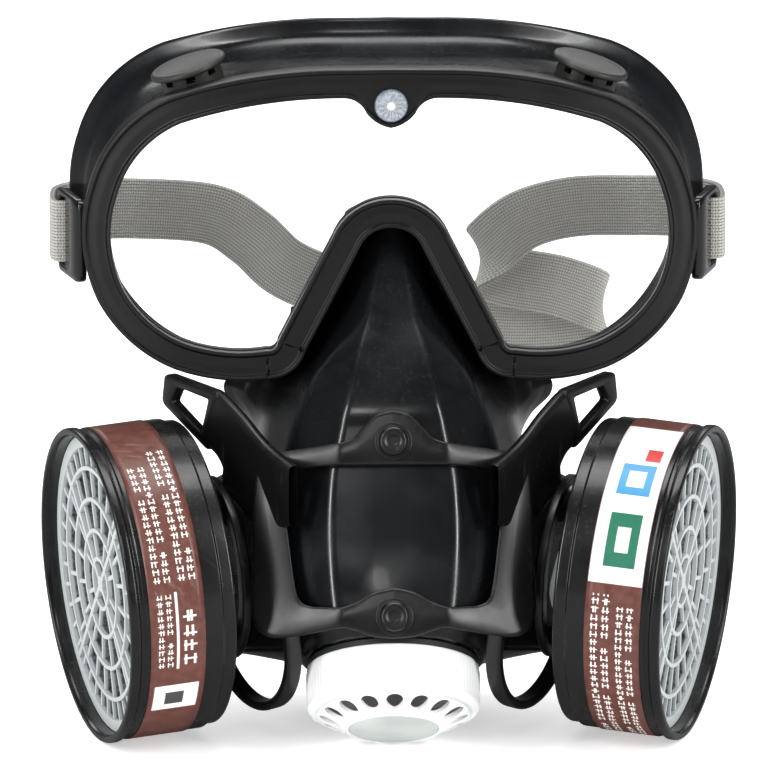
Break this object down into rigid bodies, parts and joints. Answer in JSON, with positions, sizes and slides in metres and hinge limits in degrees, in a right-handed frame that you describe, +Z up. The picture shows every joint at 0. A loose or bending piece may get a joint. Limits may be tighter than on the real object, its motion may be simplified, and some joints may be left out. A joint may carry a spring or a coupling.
{
  "type": "full face respirator",
  "caption": "Goggle with clear lens and rubber skirt above a half mask with screw-on side filter cartridges, ribbed outlet cap, harness yoke and slack head strap",
  "frame": {"origin": "middle of the face opening, on the plane where the face meets the half mask", "axes": "+Z up, +X to the right of someone facing the mask, front towards -Y"},
  "size_m": [0.1904, 0.1602, 0.1895],
  "materials": {
    "goggle_rim": "moulded black plastic, satin gloss",
    "skirt_rubber": "soft black PVC, glossy",
    "clear_lens": "clear polycarbonate",
    "button_clear": "clear plug with a pale centre",
    "vent_plastic": "grey-black moulded plastic",
    "clip_plastic": "black moulded plastic",
    "strap_webbing": "grey knitted elastic",
    "facepiece_rubber": "glossy black rubber",
    "yoke_plastic": "glossy black plastic",
    "knob_rubber": "glossy black rubber",
    "valve_white": "white plastic, fine ribs",
    "valve_grey": "grey plastic",
    "flap_silicone": "translucent silicone",
    "gasket_rubber": "black rubber",
    "can_plastic": "glossy black plastic",
    "label_paper": "glossy brown and white sleeve",
    "grille_plastic": "light grey plastic",
    "screen_plastic": "grey plastic",
    "carbon_granules": "packed charcoal granules",
    "filter_felt": "grey felt"
  },
  "bodies": {
    "mask": {"goggle_frame": "goggle_rim", "goggle_skirt": "skirt_rubber", "lens": "clear_lens", "lens_button": "button_clear", "head_strap": "strap_webbing", "facepiece": "facepiece_rubber", "yoke": "yoke_plastic", "retaining_knob_upper": "knob_rubber", "retaining_knob_lower": "knob_rubber", "exhalation_housing": "valve_grey", "exhalation_seat": "valve_grey", "vent_base_left": "vent_plastic", "vent_cap_left": "vent_plastic", "strap_clip_left": "clip_plastic", "cartridge_socket_left": "valve_grey", "inhalation_seat_left": "valve_grey", "vent_base_right": "vent_plastic", "vent_cap_right": "vent_plastic", "strap_clip_right": "clip_plastic", "cartridge_socket_right": "valve_grey", "inhalation_seat_right": "valve_grey"},
    "exhalation_flap": {"exhalation_flap": "flap_silicone"},
    "cap_washer": {"cap_washer": "gasket_rubber"},
    "exhalation_cap": {"exhalation_cap": "valve_white"},
    "inlet_gasket_left": {"inlet_gasket_left": "gasket_rubber"},
    "cartridge_left": {"cartridge_shell_left": "can_plastic", "cartridge_label_left": "label_paper", "grille_left": "grille_plastic", "rear_screen_left": "screen_plastic", "carbon_bed_left": "carbon_granules", "dust_filter_left": "filter_felt"},
    "inhalation_flap_left": {"inhalation_flap_left": "flap_silicone"},
    "inlet_gasket_right": {"inlet_gasket_right": "gasket_rubber"},
    "cartridge_right": {"cartridge_shell_right": "can_plastic", "cartridge_label_right": "label_paper", "grille_right": "grille_plastic", "rear_screen_right": "screen_plastic", "carbon_bed_right": "carbon_granules", "dust_filter_right": "filter_felt"},
    "inhalation_flap_right": {"inhalation_flap_right": "flap_silicone"}
  },
  "joints": [
    {"name": "exhalation_flap_lift", "type": "slide", "parent": "mask", "child": "exhalation_flap", "axis": [0, -0.5299, -0.848], "range_m": [0, 0.0015], "stiffness_N_per_m": 20, "springref_m": -0.002},
    {"name": "exhalation_cap_travel", "type": "slide", "parent": "mask", "child": "cap_washer", "axis": [0, -0.5299, -0.848], "range_m": [0, 0.00605]},
    {"name": "exhalation_cap_turn", "type": "hinge", "parent": "cap_washer", "child": "exhalation_cap", "pos_m": [0, -0.0617, -0.07795], "axis": [0, -0.5299, -0.848], "range_deg": [0, 540]},
    {"name": "cartridge_left_travel", "type": "slide", "parent": "mask", "child": "inlet_gasket_left", "axis": [-0.9564, -0.2851, -0.0628], "range_m": [0, 0.0101]},
    {"name": "cartridge_left_turn", "type": "hinge", "parent": "inlet_gasket_left", "child": "cartridge_left", "pos_m": [-0.0541, -0.042, -0.0552], "axis": [-0.9564, -0.2851, -0.0628], "range_deg": [0, 720]},
    {"name": "inhalation_flap_left_lift", "type": "slide", "parent": "mask", "child": "inhalation_flap_left", "axis": [0.9564, 0.2851, 0.0628], "range_m": [0, 0.0012], "stiffness_N_per_m": 20, "springref_m": -0.002},
    {"name": "cartridge_right_travel", "type": "slide", "parent": "mask", "child": "inlet_gasket_right", "axis": [0.9564, -0.2851, -0.0628], "range_m": [0, 0.0101]},
    {"name": "cartridge_right_turn", "type": "hinge", "parent": "inlet_gasket_right", "child": "cartridge_right", "pos_m": [0.0541, -0.042, -0.0552], "axis": [0.9564, -0.2851, -0.0628], "range_deg": [0, 720]},
    {"name": "inhalation_flap_right_lift", "type": "slide", "parent": "mask", "child": "inhalation_flap_right", "axis": [-0.9564, 0.2851, 0.0628], "range_m": [0, 0.0012], "stiffness_N_per_m": 20, "springref_m": -0.002}
  ],
  "couplings": [
    {"joint": "exhalation_cap_travel", "follows": "exhalation_cap_turn", "m_per_rad": 0.00063662},
    {"joint": "cartridge_left_travel", "follows": "cartridge_left_turn", "m_per_rad": 0.00079577},
    {"joint": "cartridge_right_travel", "follows": "cartridge_right_turn", "m_per_rad": 0.00079577}
  ]
}
